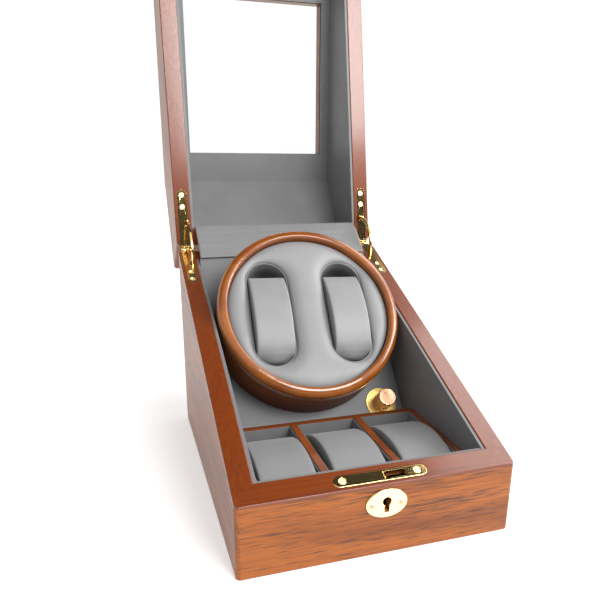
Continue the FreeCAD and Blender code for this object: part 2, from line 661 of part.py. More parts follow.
def lid_inset(offset, low):
    """The lid's side profile moved in from the roof, with its lower edge above the rim."""
    slope = math.radians(WINDOW_ANGLE)
    drop = offset / math.cos(slope)
    top = size("total_height") - offset
    start = size("lid_front_top") - drop
    bend = (top - start) / math.tan(slope)
    depth = size("depth")
    return [(0, rim_height(0) + low), (depth, rim_height(depth) + low), (depth, top), (bend, top), (0, start)]


def make_lid():
    outline = profile("lid_outline", lid_inset(0, 0), "width")
    rounded = round_edges("lid_rounded", outline, "corner_radius", upright_or_roof)
    wall = size("wall")
    below = profile("lid_below_roof", lid_inset(wall, -5), "width+10")
    hollow = block("lid_hollow", ("wall-width/2", "width/2-wall"), ("wall", "depth-wall"), ("0", "2*total_height"))
    square = cut("lid_walls", common("lid_wall_blank", rounded, below), hollow)
    walls = round_edges("lid_walls_eased", square, "rim_ease", on_rim)
    seats = leaf_plate("upper_leaf_seats", True, 2)
    slots = [arm_mortise("upper_mortise_left", -1), arm_mortise("upper_mortise_right", 1)]
    strike_seat = moved(solid("strike_seat", strike_plate_shape()), RIM_FRAME)
    extra = {
        "front": (strike_seat,),
        "left": (seats, *slots),
        "right": (seats, *slots),
        "back": (seats, *slots),
    }
    for side, tools in extra.items():
        piece = common("lid_%s_blank" % side, walls, wall_tool("lid_%s_tool" % side, side))
        finish("lid_" + side, cut("lid_%s_wall" % side, piece, *tools), LID_TO_ROW)
    roof = cut("lid_roof", rounded, below)
    bend = lid_inset(wall, 0)[3][0]
    before = profile("roof_split", [("knee", "total_height+5"), (-5, "total_height+5"), (-5, 0), (bend, 0),
                                    (bend, size("total_height - wall"))], "width+10")
    sloping = common("lid_sloping_roof", roof, before)
    window = window_block("window_hole", "window_width", "window_length", 0, -wall - 5, 5)
    rebate = window_block("window_rebate", "window_width+2*rebate", "window_length+2*rebate",
                          -size("rebate"), -wall - 5, -wall + size("pane + 1"))
    finish("lid_window_frame", cut("lid_window_panel", sloping, window, rebate), LID_TO_ROW)
    finish("lid_top", cut("lid_flat_roof", roof, before), LID_TO_ROW)
    pane = window_block("pane_sheet", "window_width+2*rebate-0.6", "window_length+2*rebate-0.6",
                        -size("rebate") + 0.3, -wall, -wall + size("pane"))
    finish("window_glass", pane, LID_TO_ROW)


def window_block(name, across, along, shift, low, high):
    """A block in the window's sloping plane."""
    body = doc.addObject("Part::Box", name)
    bind(body, Length=across, Width=along, Height=high - low)
    start = Vector(-size(across) / 2, size("window_start") + shift, low)
    body.Placement = WINDOW_FRAME * Placement(start, Rotation())
    return body


def upright_or_roof(edge):
    """The lid's outside edges, all but those of the rim."""
    box = edge.BoundBox
    if upright(edge):
        return True
    return box.ZMin > roof_height(box.YMin) - 0.01 and box.ZMax > size("lid_front_top") - 0.01


def make_lid_linings():
    wall, lining = size("wall"), size("lining")
    step = size("edge_step")
    front, back = wall, size("depth") - wall
    inside = lid_inset(wall, step)
    slope = math.tan(math.radians(WINDOW_ANGLE))
    start = inside[4][1]
    side = [(front, rim_height(front) + step), (back, rim_height(back) + step), (back, inside[2][1]), inside[3],
            (front, start + front * slope)]
    sides = [profile("lid_lining_side_%d" % i, side, "lining", low)
             for i, low in enumerate(("wall-width/2", "width/2-wall-lining"))]
    finish("lid_lining_sides", solid_group("lid_lining_pair", sides), LID_TO_ROW)
    x = (-LINED, LINED)
    low = rim_height(front) + step
    high = start + front * slope - 3
    finish("lid_lining_front", block("lid_front_card", x, (front, front + lining), (low, high)), LID_TO_ROW)
    low = rim_height(back) + 8
    high = inside[2][1]
    finish("lid_lining_back", block("lid_back_card", x, (back - lining, back), (low, high)), LID_TO_ROW)
    top = inside[2][1]
    bend = inside[3][0]
    card = profile("lid_top_card", [(bend, top), (back - lining, top), (back - lining, top - lining),
                                    (bend + 0.7, top - lining)], 2 * LINED)
    finish("lid_lining_top", card, LID_TO_ROW)
    wedge = [(front + lining, start + (front + lining) * slope), (bend, top), (bend + 0.7, top - lining)]
    wedge += [(front + lining, start + (front + lining) * slope - lining / math.cos(math.radians(WINDOW_ANGLE)))]
    frame = profile("lid_window_card", wedge, 2 * LINED)
    hole = window_block("lid_window_card_hole", "window_width", "window_length", 0, -wall - 8, -wall + 2)
    finish("lid_lining_window", cut("lid_window_card_cut", frame, hole), LID_TO_ROW)


# ---- brass fittings -------------------------------------------------------------

def barrel(low, high):
    """A hinge barrel between two distances from the middle, on both sides."""
    parts = []
    for sign in (-1, 1):
        start = min(sign * low, sign * high)
        place = Vector(start, HINGE_ON_RIM.y, HINGE_ON_RIM.z)
        parts.append(Part.makeCylinder(size("barrel_radius"), high - low, place, Vector(1, 0, 0)))
    return parts


def make_hinges():
    tail = size("depth") / math.cos(math.radians(RIM_ANGLE))
    half = size("leaf_width/2")
    inner, outer = size("leaf_offset") - half, size("leaf_offset") + half
    split = (inner + outer) / 2
    arm_x = size("arm_offset")
    slot_low = HINGE_ON_RIM.y - size("arm_outer") - 0.6
    slot_high = HINGE_ON_RIM.y - size("arm_inner") + 0.6
    screw_places = [HINGE_ON_RIM.y - distance for distance in (37.5, 47.5)]
    kinds = (("hinge_lower_leaves", False, inner, split - 0.1, TO_ROW), ("hinge_upper_leaves", True, split + 0.1, outer, LID_TO_ROW))
    for label, above, low, high, frame in kinds:
        plates = leaf_plate(label + "_plates", above).Shape.copy()
        plates.Placement = Placement()
        knuckles = barrel(low, high)
        leaves = []
        for plate, knuckle, sign in zip(plates.Solids, knuckles, (-1, 1)):
            x = min(sign * low, sign * high)
            z = (0.05, size("leaf")) if above else (-size("leaf"), 0)
            strap = Part.makeBox(high - low, HINGE_ON_RIM.y - tail + 1, z[1] - z[0], Vector(x, tail - 1, z[0]))
            leaf = plate.fuse([strap, knuckle]).removeSplitter()
            slot = Part.makeBox(2 * (size("arm") + 0.5), slot_high - slot_low, 8)
            slot.translate(Vector(sign * arm_x - size("arm") - 0.5, slot_low, -4))
            fit = 0.05 if above else 0
            start = Vector(sign * split - half, HINGE_ON_RIM.y, HINGE_ON_RIM.z)
            pin = Part.makeCylinder(size("pin_radius") + fit, 2 * half, start, Vector(1, 0, 0))
            leaf = leaf.cut([slot, pin]) if above else leaf.cut(slot).fuse(pin).removeSplitter()
            for y in screw_places:
                sink = screw_hole(1.1, 12, 2.3)
                turn = Rotation() if not above else Rotation(Vector(1, 0, 0), 180)
                sink.Placement = Placement(Vector(sign * size("leaf_offset"), y, 0), turn)
                leaf = leaf.cut(Part.makeCompound([sink.copy()]))
            leaves.append(leaf)
        finish(label, solid(label + "_pair", Part.makeCompound(leaves)), frame * RIM_FRAME)


def make_arms():
    """The two quadrant arms, which turn about the hinge axis as the lid opens."""
    for name, sign in (("left", -1), ("right", 1)):
        outer = rod("arm_disc_" + name, "arm_outer", "arm", (0, 0, 0))
        bind(outer, Angle="arm_sweep")
        ring = cut("arm_ring_" + name, outer, rod("arm_bore_" + name, "arm_inner", 20, (0, 0, -5)))
        start = math.radians(RIM_ANGLE + 4)
        forward = Vector(0, -math.cos(start), -math.sin(start))
        axis = Vector(-1, 0, 0)
        turn = Rotation(forward, axis.cross(forward), axis, "ZXY")
        ring.Placement = Placement(HINGE + Vector(sign * size("arm_offset") + size("arm/2"), 0, 0), turn)
        finish("quadrant_arm_" + name, ring)


def rounded_plate(low, high):
    """The lock plate's outline on the rim, with round ends."""
    half = size("lock_width/2") - size("lock_plate_depth/2")
    radius = size("lock_plate_depth/2")
    centre = size("lock_slope")
    shape = Part.makeBox(2 * half, 2 * radius, high - low, Vector(-half, centre - radius, low))
    for sign in (-1, 1):
        shape = shape.fuse(Part.makeCylinder(radius, high - low, Vector(sign * half, centre, low)))
    return shape.removeSplitter()


def strike_plate_shape():
    half = 20
    centre = size("lock_slope")
    x = size("lock_slot_offset")
    shape = Part.makeBox(2 * half, 8, 1.2, Vector(x - half, centre - 4, 0))
    return shape


def make_lock():
    centre, slot_x = size("lock_slope"), size("lock_slot_offset")
    plate = rounded_plate(-size("leaf"), 0)
    outline = [edge for edge in plate.Edges if edge.BoundBox.ZMin > -0.01]
    plate = plate.makeChamfer(0.4, outline)
    half = size("lock_slot_width/2")
    slot = Part.makeBox(2 * half, 5.2, 6, Vector(slot_x - half, centre - 2.6, -3))
    holes = []
    places = []
    for sign in (-1, 1):
        place = Placement(Vector(sign * 24.3, centre, 0), Rotation())
        sink = screw_hole(1.2, 12, 2.5)
        sink.Placement = place
        holes.append(sink)
        places.append(place)
    finish("lock_plate", solid("lock_selvedge", plate.cut([slot] + holes)), TO_ROW * RIM_FRAME)
    top = rim_height(3.4) - size("leaf") - 0.6
    shoulder = "lock_shoulder"
    outer = fuse("lock_box", block("lock_box_neck", (-18, 20), (3.6, 10.4), (23, top)),
                 block("lock_box_body", (-18, 20), (3.6, 13.8), (23, shoulder)))
    inner = fuse("lock_box_hollow", block("lock_neck_hollow", (-16.8, 18.8), (4.6, 10.1), (24.2, 80)),
                 block("lock_body_hollow", (-16.8, 18.8), (4.6, 12.6), (24.2, shoulder + "-0.5")))
    key = rod("lock_keyhole", "keyhole_radius+0.2", "4", ("key_offset", "2", "key_height+1.4"), "y")
    slot = block("lock_key_slot", ("key_offset-keyhole_slot/2-0.1", "key_offset+keyhole_slot/2+0.1"), (2, 6),
                 ("key_height-5", "key_height"))
    pin = rod("lock_drill_pin", "1", "9", ("key_offset", "4.2", "key_height+1.4"), "y")
    finish("lock_case", fuse("lock_case_joined", cut("lock_case_shell", outer, inner, key, slot), pin))
    # the bolt stands square to the rim, its nose level with the strike's notch
    nose = Part.makeBox(9, 2.4, 3, Vector(slot_x - 13.6, centre - 1.2, -6.4))
    tail = Part.makeBox(16, 2.4, 7, Vector(slot_x - 23, centre - 1.2, -10.4))
    finish("lock_bolt", solid("bolt", nose.fuse(tail).removeSplitter()), TO_ROW * RIM_FRAME)
    hook = Part.makeBox(8, 2.4, 9, Vector(slot_x - 3.8, centre - 1.2, -9))
    notch = Part.makeBox(5.4, 4, 3.8, Vector(slot_x - 4.2, centre - 2, -6.8))
    finish("strike_plate", solid("strike", strike_with_holes(hook.cut(notch))), LID_TO_ROW * RIM_FRAME)
    return places


def strike_with_holes(hook):
    shape = strike_plate_shape()
    for place in strike_screw_places():
        sink = screw_hole(1.1, 12, 2.3)
        sink.Placement = place
        shape = shape.cut(sink)
    return shape.fuse(hook).removeSplitter()


def strike_screw_places():
    over = Rotation(Vector(1, 0, 0), 180)
    x, y = size("lock_slot_offset"), size("lock_slope")
    return [Placement(Vector(x + sign * 15, y, 0), over) for sign in (-1, 1)]


def make_escutcheon():
    long_half, short_half = size("escutcheon_length/2"), size("escutcheon_height/2")
    ellipse = Part.Ellipse(Vector(), long_half, short_half)
    plate = Part.Face(Part.Wire([ellipse.toShape()])).extrude(Vector(0, 0, 1.3))
    rim = [edge for edge in plate.Edges if edge.BoundBox.ZMin > 1.2]
    plate = plate.makeFillet(0.8, rim)
    hole = Part.makeCylinder(size("keyhole_radius"), 10, Vector(0, 1.4, -5))
    slot_width = size("keyhole_slot")
    slot = Part.makeBox(slot_width, 7, 10, Vector(-slot_width / 2, -5.6, -5))
    pin_bores = [Part.makeCylinder(0.6, 10, Vector(sign * 9.4, -0.6, -5)) for sign in (-1, 1)]
    plate = plate.cut([hole, slot] + pin_bores)
    face = Placement(Vector(size("key_offset"), 0, size("key_height")), Rotation(Vector(1, 0, 0), 90))
    finish("escutcheon", solid("key_plate", plate), TO_ROW * face)
    pins = []
    for sign in (-1, 1):
        shank = Part.makeCylinder(0.6, 5, Vector(sign * 9.4, -0.6, -3.6))
        head = Part.makeSphere(2.2, Vector(sign * 9.4, -0.6, 0), Vector(0, 0, 1), 36.3, 90, 360)
        pins.append(shank.fuse(head))
    finish("escutcheon_pins", solid("key_plate_pins", Part.makeCompound(pins)), TO_ROW * face)


def make_screws(lock_places):
    over = Rotation(Vector(1, 0, 0), 180)
    for label, turn, frame in (("brass_screws_case", Rotation(), TO_ROW), ("brass_screws_lid", over, LID_TO_ROW)):
        places = []
        for sign in (-1, 1):
            for distance in (37.5, 47.5):
                spot = Vector(sign * size("leaf_offset"), HINGE_ON_RIM.y - distance, 0)
                places.append(Placement(spot, turn))
        group = at_places(countersunk(1.1, 10, 2.3), places)
        if frame is TO_ROW:
            group = Part.makeCompound(group.Solids + at_places(countersunk(1.2, 10, 2.5), lock_places).Solids)
        else:
            group = Part.makeCompound(group.Solids + at_places(countersunk(1.1, 10, 2.3), strike_screw_places()).Solids)
        finish(label, solid(label + "_group", group), frame * RIM_FRAME)


def make_hinge_cover():
    """The leather strip that bridges the hinge gap between the deck and the lid."""
    thick = 1.2
    low = Vector(0, DECK_BACK - 0.6, deck_height(DECK_BACK - 0.6) + 0.15)
    edge = Vector(0, size("depth - wall"), rim_height(size("depth - wall")))
    high = OPEN_LID.multVec(edge) + Vector(0, -1.2, 0.2)
    along = (high - low).normalize()
    up = Vector(1, 0, 0).cross(along)
    middle = (low + high) / 2 + up * 1.6
    lower = Part.Arc(low, middle, high).toShape()
    upper = Part.Arc(low + up * thick, middle + up * thick, high + up * thick).toShape()
    ends = [Part.LineSegment(low, low + up * thick).toShape(), Part.LineSegment(high, high + up * thick).toShape()]
    face = Part.Face(Part.Wire(Part.__sortEdges__([lower, upper] + ends)))
    half = LINED - 0.5
    shape = face.extrude(Vector(2 * half, 0, 0))
    shape.translate(Vector(-half, 0, 0))
    finish("hinge_cover", solid("hinge_leather", shape))


# ---- build, check and write -----------------------------------------------------

make_case()
make_case_linings()
make_deck()
make_tray()
make_drum()
make_drive()
make_control()
make_power()
make_lid()
make_lid_linings()
make_hinges()
make_arms()
make_screws(make_lock())
make_escutcheon()
make_hinge_cover()
doc.recompute()

for obj in doc.Objects:
    if "Invalid" in obj.State or "Error" in obj.State:
        raise RuntimeError("%s failed: %s" % (obj.Label, obj.State))
for obj in NODES:
    if obj.Shape.isNull() or not obj.Shape.isValid() or not obj.Shape.Solids:
        raise RuntimeError("%s has no sound solid" % obj.Label)

os.makedirs("parts", exist_ok=True)
for obj in NODES:
    obj.Shape.exportStep("parts/%s.step" % obj.Label)
print(len(NODES), "nodes")
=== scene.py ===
import json
import math

import bmesh
import bpy
from mathutils import Matrix, Vector


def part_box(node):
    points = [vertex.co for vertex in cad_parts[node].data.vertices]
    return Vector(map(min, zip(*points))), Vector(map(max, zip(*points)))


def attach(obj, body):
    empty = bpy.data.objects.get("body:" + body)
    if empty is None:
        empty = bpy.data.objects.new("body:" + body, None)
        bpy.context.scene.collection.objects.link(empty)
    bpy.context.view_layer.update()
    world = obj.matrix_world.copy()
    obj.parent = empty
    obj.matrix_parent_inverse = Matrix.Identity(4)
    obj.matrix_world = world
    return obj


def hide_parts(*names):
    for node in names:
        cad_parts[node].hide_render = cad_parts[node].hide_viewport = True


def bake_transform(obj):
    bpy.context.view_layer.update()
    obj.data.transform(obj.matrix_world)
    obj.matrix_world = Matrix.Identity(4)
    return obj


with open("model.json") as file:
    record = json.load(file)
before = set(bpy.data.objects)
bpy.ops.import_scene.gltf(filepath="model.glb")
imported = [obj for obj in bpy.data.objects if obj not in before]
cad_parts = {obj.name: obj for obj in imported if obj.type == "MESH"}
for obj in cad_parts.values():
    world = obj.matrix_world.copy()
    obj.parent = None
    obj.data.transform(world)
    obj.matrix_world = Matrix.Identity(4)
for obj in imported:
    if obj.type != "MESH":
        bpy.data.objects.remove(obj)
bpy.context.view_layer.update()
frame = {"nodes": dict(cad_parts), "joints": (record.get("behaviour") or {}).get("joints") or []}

NODES = frame["nodes"]
MM = 0.001

# The case stands on the floor with its front face at FRONT_Y. The lid is stored fully
# open, so its wood grain is laid out as if it were shut, in line with the case's.
HALF_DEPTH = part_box("case_back")[1].y
FRONT_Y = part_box("case_front")[0].y
JOINTS = {joint["name"]: joint for joint in frame["joints"]}
LID_JOINT = JOINTS["lid_hinge"]
DRUM_JOINT = JOINTS["drum_spin"]
HINGE = Vector(LID_JOINT["pos_m"])
LID_ANGLE = math.radians(-LID_JOINT["range_deg"][0])
DRUM_CENTRE = Vector(DRUM_JOINT["pos_m"])
DRUM_AXIS = Vector(DRUM_JOINT["axis"]).normalized()
DRUM_TILT = math.acos(DRUM_AXIS.z)
DRUM_TURN = math.radians(-2.3)
DRUM_FRAME = Matrix.Translation(DRUM_CENTRE) @ Matrix.Rotation(DRUM_TILT, 4, "X")
TURNED_DRUM = DRUM_FRAME @ Matrix.Rotation(DRUM_TURN, 4, "Z")

# Heights of the sloping rim, at the front face and at the back.
RIM_FRONT = 48.5 * MM
RIM_BACK = 154 * MM
RIM_ANGLE = math.atan2(RIM_BACK - RIM_FRONT, HALF_DEPTH - FRONT_Y)

# Pockets of the drum's face. A roll is how wide the padding curves down, and how deep.
POCKET_OFFSET = 30.6 * MM
POCKET_HALF = 27.8 * MM
LIP_RADIUS = 17.0 * MM
LIP_ROLL = (12 * MM, 5.0 * MM)
RING_ROLL = (15 * MM, 4.6 * MM)

# Watch pillows: height of the arch, round low end, sewn edge, mesh step and swelling.
DRUM_CROWN = 9.3 * MM
TRAY_CROWN = 10.3 * MM
ROUND_END = 14.6 * MM
END_ROLL = (11 * MM, 6.0 * MM)
SEAM = 1.3 * MM
COVER_STEP = 3.4 * MM
PUFF = 1.2 * MM
CLOTH_FRAMES = 14
PRESSURE = 3.0

# Where the camera stands; azimuth, elevation and roll in radians.
CAMERA_PLACE = Vector((-0.1387, -0.4109, 0.2337))
CAMERA_TURN = (math.radians(-17.67), math.radians(17.42), 0.009)
CAMERA_LENS = 36.5
CAMERA_SHIFT = (-0.0191, 0.0762)


# ---- camera, light and floor ----------------------------------------------------

def make_camera():
    """Stands to the left of the box, a little above it, and looks down on the drum."""
    azimuth, elevation, roll = CAMERA_TURN
    data = bpy.data.cameras.new("camera")
    data.sensor_width = 36
    data.lens = CAMERA_LENS
    data.shift_x, data.shift_y = CAMERA_SHIFT
    camera = bpy.data.objects.new("camera", data)
    bpy.context.collection.objects.link(camera)
    back = Vector((math.sin(azimuth) * math.cos(elevation), -math.cos(azimuth) * math.cos(elevation),
                   math.sin(elevation)))
    level = Vector((math.cos(azimuth), math.sin(azimuth), 0))
    up = back.cross(level)
    right = math.cos(roll) * level + math.sin(roll) * up
    upright = math.cos(roll) * up - math.sin(roll) * level
    turn = Matrix((right, upright, back)).transposed().to_4x4()
    camera.matrix_world = Matrix.Translation(CAMERA_PLACE) @ turn
    bpy.context.scene.camera = camera


def make_area_light(name, place, target, size, power):
    """A white softbox that faces its target."""
    data = bpy.data.lights.new(name, "AREA")
    data.shape = "RECTANGLE"
    data.size, data.size_y = size
    data.energy = power
    light = bpy.data.objects.new(name, data)
    light.location = place
    light.rotation_euler = (Vector(target) - Vector(place)).to_track_quat("-Z", "Y").to_euler()
    bpy.context.collection.objects.link(light)


def make_card(name, size, place, turn, material):
    """A card that the metal and lacquer mirror, without being seen itself."""
    mesh = bmesh.new()
    bmesh.ops.create_grid(mesh, x_segments=1, y_segments=1, size=0.5)
    bmesh.ops.transform(mesh, matrix=Matrix.Diagonal((size[0], size[1], 1, 1)), verts=mesh.verts)
    placed = Matrix.Translation(place) @ Matrix.Rotation(turn, 4, "X")
    bmesh.ops.transform(mesh, matrix=placed, verts=mesh.verts)
    card = add_piece(name, mesh, [material])
    card.visible_camera = False


def make_stage():
    """White surroundings, a key light, two softboxes at the right and black cards for the metal."""
    make_area_light("key", (0.38, -1.03, 0.95), (0.02, 0.06, 0.22), (0.70, 0.50), 18)
    make_area_light("softbox_right", (0.95, 0.30, 1.08), (0, 0.05, 0.12), (0.60, 0.80), 6)
    make_area_light("softbox_side", (1.10, -0.38, 0.75), (0, 0.03, 0.12), (0.70, 0.60), 15)
    mesh = bmesh.new()
    bmesh.ops.create_grid(mesh, x_segments=1, y_segments=1, size=4)
    floor = add_piece("floor", mesh, [make_floor_material()])
    black = make_plain("black_card", colour(0.01, 0.01, 0.01), 0.9)
    make_card("card_above", (2.6, 1.8), (-0.5, 0.75, 1.5), 0, black)
    make_card("card_front", (2.2, 0.55), (0, -1.35, 0.42), math.radians(90), black)
    world = bpy.data.worlds.new("studio")
    world.use_nodes = True
    world.node_tree.nodes["Background"].inputs["Color"].default_value = (1, 1, 1, 1)
    world.node_tree.nodes["Background"].inputs["Strength"].default_value = 1.05
    bpy.context.scene.world = world
    bpy.context.scene.view_settings.view_transform = "Standard"


# ---- mesh helpers ---------------------------------------------------------------

def add_piece(name, mesh, materials, smooth=True):
    """Turn a bmesh into an object of the scene."""
    data = bpy.data.meshes.new(name)
    mesh.normal_update()
    mesh.to_mesh(data)
    mesh.free()
    for material in materials:
        data.materials.append(material)
    for face in data.polygons:
        face.use_smooth = smooth
    obj = bpy.data.objects.new(name, data)
    bpy.context.collection.objects.link(obj)
    return obj


# ---- shader helpers -------------------------------------------------------------

class Tree:
    """Builds the nodes of one material, or of one node group."""

    def __init__(self, tree):
        self.tree = tree

    def node(self, kind, inputs=None, **settings):
        made = self.tree.nodes.new(kind)
        for name, value in settings.items():
            setattr(made, name, value)
        for name, value in (inputs or {}).items():
            self.feed(made.inputs[name], value)
        return made

    def feed(self, socket, value):
        if isinstance(value, bpy.types.NodeSocket):
            self.tree.links.new(value, socket)
        else:
            socket.default_value = value

    def math(self, operation, a, b=0.0):
        return self.node("ShaderNodeMath", {0: a, 1: b}, operation=operation).outputs[0]

    def ramp(self, value, low, high, low_to=0.0, high_to=1.0):
        """A value remapped smoothly from one range to another."""
        inputs = {"Value": value, "From Min": low, "From Max": high, "To Min": low_to, "To Max": high_to}
        return self.node("ShaderNodeMapRange", inputs, interpolation_type="SMOOTHSTEP").outputs[0]

    def mix(self, factor, a, b):
        made = self.node("ShaderNodeMix", data_type="RGBA")
        self.feed(made.inputs[0], factor)
        self.feed(made.inputs[6], a)
        self.feed(made.inputs[7], b)
        return made.outputs[2]

    def noise(self, vector, scale, detail=3.0, roughness=0.5):
        inputs = {"Vector": vector, "Scale": scale, "Detail": detail, "Roughness": roughness}
        return self.node("ShaderNodeTexNoise", inputs).outputs["Fac"]

    def scaled(self, vector, scale, turn=(0, 0, 0), place=(0, 0, 0)):
        inputs = {"Vector": vector, "Scale": scale, "Rotation": turn, "Location": place}
        return self.node("ShaderNodeMapping", inputs).outputs[0]

    def group(self, group, **inputs):
        made = self.node("ShaderNodeGroup", node_tree=group)
        for name, value in inputs.items():
            self.feed(made.inputs[name.replace("_", " ")], value)
        return made.outputs


def colour(red, green, blue):
    return (red, green, blue, 1.0)


def new_material(name):
    material = bpy.data.materials.new(name)
    material.use_nodes = True
    tree = Tree(material.node_tree)
    shader = material.node_tree.nodes["Principled BSDF"]
    place = tree.node("ShaderNodeTexCoord").outputs["Object"]
    return material, tree, shader, place


def new_group(name, inputs, outputs):
    """A node group with named sockets: a value, a vector or a colour each."""
    kinds = {"value": "NodeSocketFloat", "vector": "NodeSocketVector", "colour": "NodeSocketColor"}
    group = bpy.data.node_groups.new(name, "ShaderNodeTree")
    for label, kind in inputs:
        group.interface.new_socket(label, in_out="INPUT", socket_type=kinds[kind])
    for label, kind in outputs:
        group.interface.new_socket(label, in_out="OUTPUT", socket_type=kinds[kind])
    tree = Tree(group)
    return group, tree, tree.node("NodeGroupInput").outputs, tree.node("NodeGroupOutput").inputs


def make_grain_group():
    """Wood figure along X: broad bands, fine lines and short dark open pores."""
    group, tree, given, result = new_group(
        "wood_grain", [("Place", "vector"), ("Band Size", "value")],
        [("Figure", "value"), ("Lines", "value"), ("Pores", "value")])
    banded = tree.scaled(given["Place"], (2.2, 26, 26))
    warp = tree.noise(tree.scaled(given["Place"], (5, 20, 20)), 1.0, 2.0)
    bent = tree.node("ShaderNodeVectorMath", {0: banded}, operation="ADD")
    tree.feed(bent.inputs[1], tree.math("MULTIPLY", warp, 1.6))
    figure = tree.noise(bent.outputs[0], given["Band Size"], 3.0, 0.55)
    lines = tree.noise(tree.scaled(given["Place"], (14, 620, 620)), 1.0, 2.0, 0.6)
    streak = tree.noise(tree.scaled(given["Place"], (62, 1700, 1700)), 1.0, 1.0, 0.5)
    patch = tree.noise(tree.scaled(given["Place"], (12, 75, 75)), 1.0, 2.0, 0.5)
    pores = tree.ramp(tree.math("ADD", streak, tree.math("MULTIPLY", patch, 0.75)), 0.90, 1.10)
    tree.feed(result["Figure"], figure)
    tree.feed(result["Lines"], lines)
    tree.feed(result["Pores"], pores)
    return group


def make_rim_group():
    """1 on the sloping rim faces of the case or the lid, 0 on the faces round them."""
    group, tree, given, result = new_group("rim_mask", [("Place", "vector")], [("Rim", "value")])
    parts = tree.node("ShaderNodeSeparateXYZ", {0: given["Place"]}).outputs
    across = tree.math("MULTIPLY", tree.math("SUBTRACT", parts["Y"], FRONT_Y), math.sin(RIM_ANGLE))
    up = tree.math("MULTIPLY", tree.math("SUBTRACT", parts["Z"], RIM_FRONT), math.cos(RIM_ANGLE))
    above = tree.math("ABSOLUTE", tree.math("SUBTRACT", up, across))
    tree.feed(result["Rim"], tree.ramp(above, 1.2 * MM, 1.8 * MM, 1.0, 0.0))
    return group


def make_leather_group():
    """Fine pebbled grain of coated leather, with a soft mottle."""
    group, tree, given, result = new_group(
        "leather_grain", [("Place", "vector"), ("Grain Size", "value")],
        [("Height", "value"), ("Mottle", "value")])
    cells = tree.node("ShaderNodeTexVoronoi", {"Vector": given["Place"], "Scale": given["Grain Size"]},
                      feature="SMOOTH_F1")
    fine = tree.noise(given["Place"], tree.math("MULTIPLY", given["Grain Size"], 2.4), 2.0)
    height = tree.math("ADD", tree.math("MULTIPLY", cells.outputs["Distance"], 0.8),
                       tree.math("MULTIPLY", fine, 0.35))
    tree.feed(result["Height"], height)
    tree.feed(result["Mottle"], tree.noise(given["Place"], 45.0, 3.0))
    return group


GRAIN = make_grain_group()
RIM = make_rim_group()
LEATHER = make_leather_group()


def closed_place(tree, place, lid):
    """Coordinates of the shut box, so that one pattern runs over case and lid."""
    if not lid:
        return place
    # Mapping turns first and then moves, so the move brings the hinge axis back.
    turn = Matrix.Rotation(LID_ANGLE, 4, "X")
    shift = HINGE - turn @ HINGE
    return tree.scaled(place, (1, 1, 1), (LID_ANGLE, 0, 0), tuple(shift))


def make_walnut(name, grain_along="X", lid=False):
    """Open-pored veneer on the faces, smoother and redder lacquer on the rim."""
    material, tree, shader, place = new_material(name)
    shut = closed_place(tree, place, lid)
    turn = (0, 0, math.radians(90)) if grain_along == "Y" else (0, 0, 0)
    along = tree.scaled(shut, (1, 1, 1), turn)
    grain = tree.group(GRAIN, Place=along, Band_Size=1.0)
    rim = tree.group(RIM, Place=shut)["Rim"]
    brown, amber = colour(0.165, 0.041, 0.004), colour(0.290, 0.080, 0.009)
    base = tree.mix(tree.ramp(grain["Figure"], 0.3, 0.7), brown, amber)
    lined = tree.mix(0.35, base, colour(0.10, 0.026, 0.007))
    fine = tree.mix(tree.ramp(grain["Lines"], 0.35, 0.7), base, lined)
    dark = tree.mix(tree.math("MULTIPLY", grain["Pores"], 0.85), fine, colour(0.050, 0.018, 0.008))
    lacquer, deep_lacquer = colour(0.150, 0.030, 0.004), colour(0.110, 0.020, 0.003)
    red = tree.mix(tree.ramp(grain["Lines"], 0.3, 0.7), lacquer, deep_lacquer)
    tree.feed(shader.inputs["Base Color"], tree.mix(rim, dark, red))
    rough = tree.ramp(grain["Lines"], 0.3, 0.7, 0.34, 0.42)
    smoother = tree.math("SUBTRACT", rough, tree.math("MULTIPLY", rim, 0.1))
    tree.feed(shader.inputs["Roughness"], smoother)
    shader.inputs["IOR"].default_value = 1.35
    shader.inputs["Coat IOR"].default_value = 1.35
    shader.inputs["Coat Roughness"].default_value = 0.14
    tree.feed(shader.inputs["Coat Weight"], tree.math("ADD", 0.12, tree.math("MULTIPLY", rim, 0.78)))
    height = tree.math("MULTIPLY", grain["Pores"], -1.0)
    softened = tree.math("MULTIPLY", height, tree.math("SUBTRACT", 1.0, tree.math("MULTIPLY", rim, 0.8)))
    bump = tree.node("ShaderNodeBump", {"Height": softened, "Strength": 0.35, "Distance": 0.15 * MM})
    tree.feed(shader.inputs["Normal"], bump.outputs[0])
    return material


def make_turned_wood(name, dark, light, gloss, coat=0.8, sheen=0.5):
    """Lacquered wood of the drum and the tray."""
    material, tree, shader, place = new_material(name)
    grain = tree.group(GRAIN, Place=place, Band_Size=1.3)
    base = tree.mix(tree.ramp(grain["Figure"], 0.35, 0.65), dark, light)
    fine = tree.mix(tree.math("MULTIPLY", tree.ramp(grain["Lines"], 0.35, 0.7), 0.35), base, dark)
    tree.feed(shader.inputs["Base Color"], fine)
    tree.feed(shader.inputs["Roughness"], tree.ramp(grain["Lines"], 0.3, 0.7, gloss, gloss + 0.06))
    shader.inputs["IOR"].default_value = 1.35
    shader.inputs["Specular IOR Level"].default_value = sheen
    shader.inputs["Coat Weight"].default_value = coat
    shader.inputs["Coat IOR"].default_value = 1.4
    shader.inputs["Coat Roughness"].default_value = 0.07
    return material


